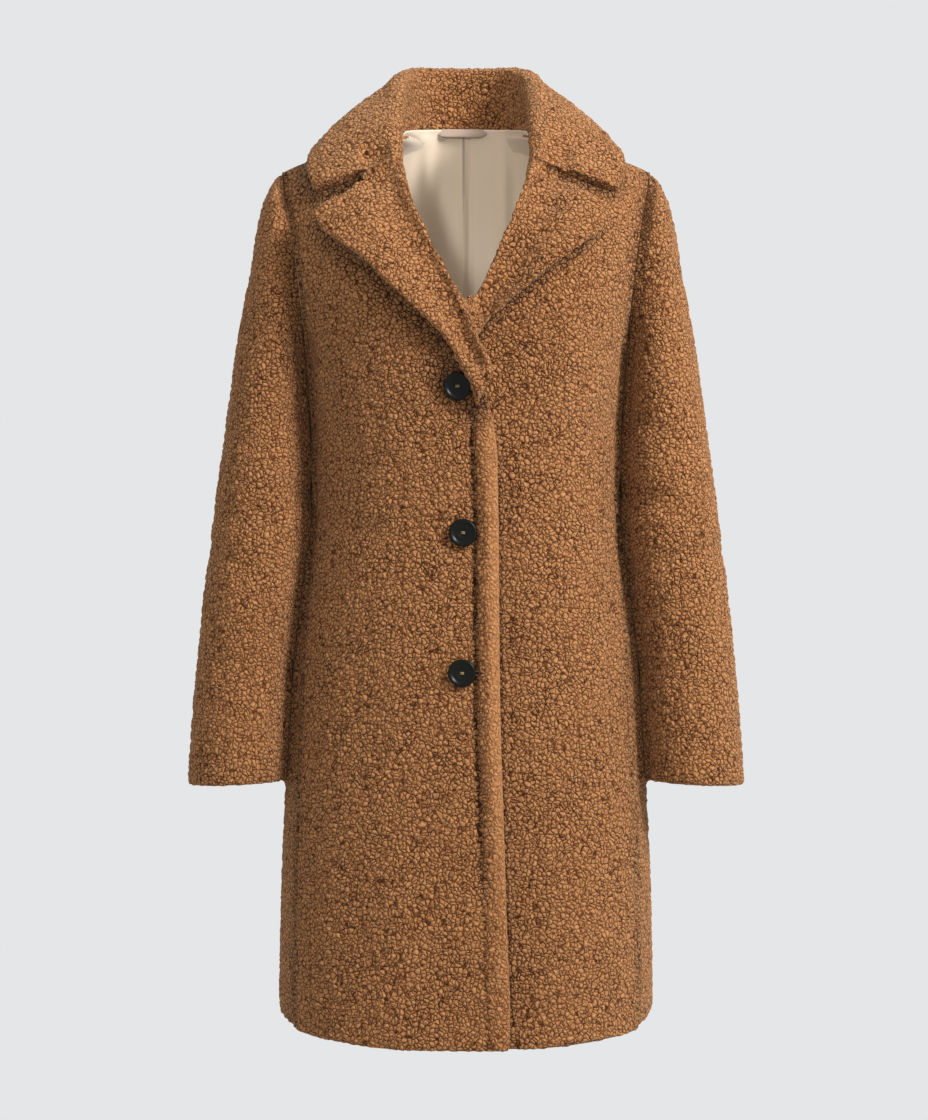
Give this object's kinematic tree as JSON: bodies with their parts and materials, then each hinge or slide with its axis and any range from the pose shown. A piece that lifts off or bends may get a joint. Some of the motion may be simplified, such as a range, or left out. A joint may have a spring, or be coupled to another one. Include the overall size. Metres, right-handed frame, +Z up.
{
  "type": "faux fur coat",
  "caption": "Knee-length camel faux fur coat with notched collar, wide lapels, long set-in sleeves, dark buttons and a beige satin back lining, hollow as if worn.",
  "frame": {"origin": "centre of the neck's base, level with the shoulder seams at the neck", "axes": "+Z up along the body, -Y out of the front, +X to the wearer's left"},
  "size_m": [0.5726, 0.2961, 1.0161],
  "materials": {
    "faux_fur": "curly pile, pebbled, matt",
    "satin": "smooth, soft sheen",
    "horn": "polished, near black"
  },
  "bodies": {
    "root": {"front_right": "faux_fur", "front_left": "faux_fur", "back": "faux_fur", "sleeve_right": "faux_fur", "sleeve_left": "faux_fur", "collar": "faux_fur", "lapel_right": "faux_fur", "lapel_left": "faux_fur", "lining": "satin", "hanger_loop": "satin", "button_top": "horn", "button_middle": "horn", "button_bottom": "horn"}
  },
  "joints": []
}
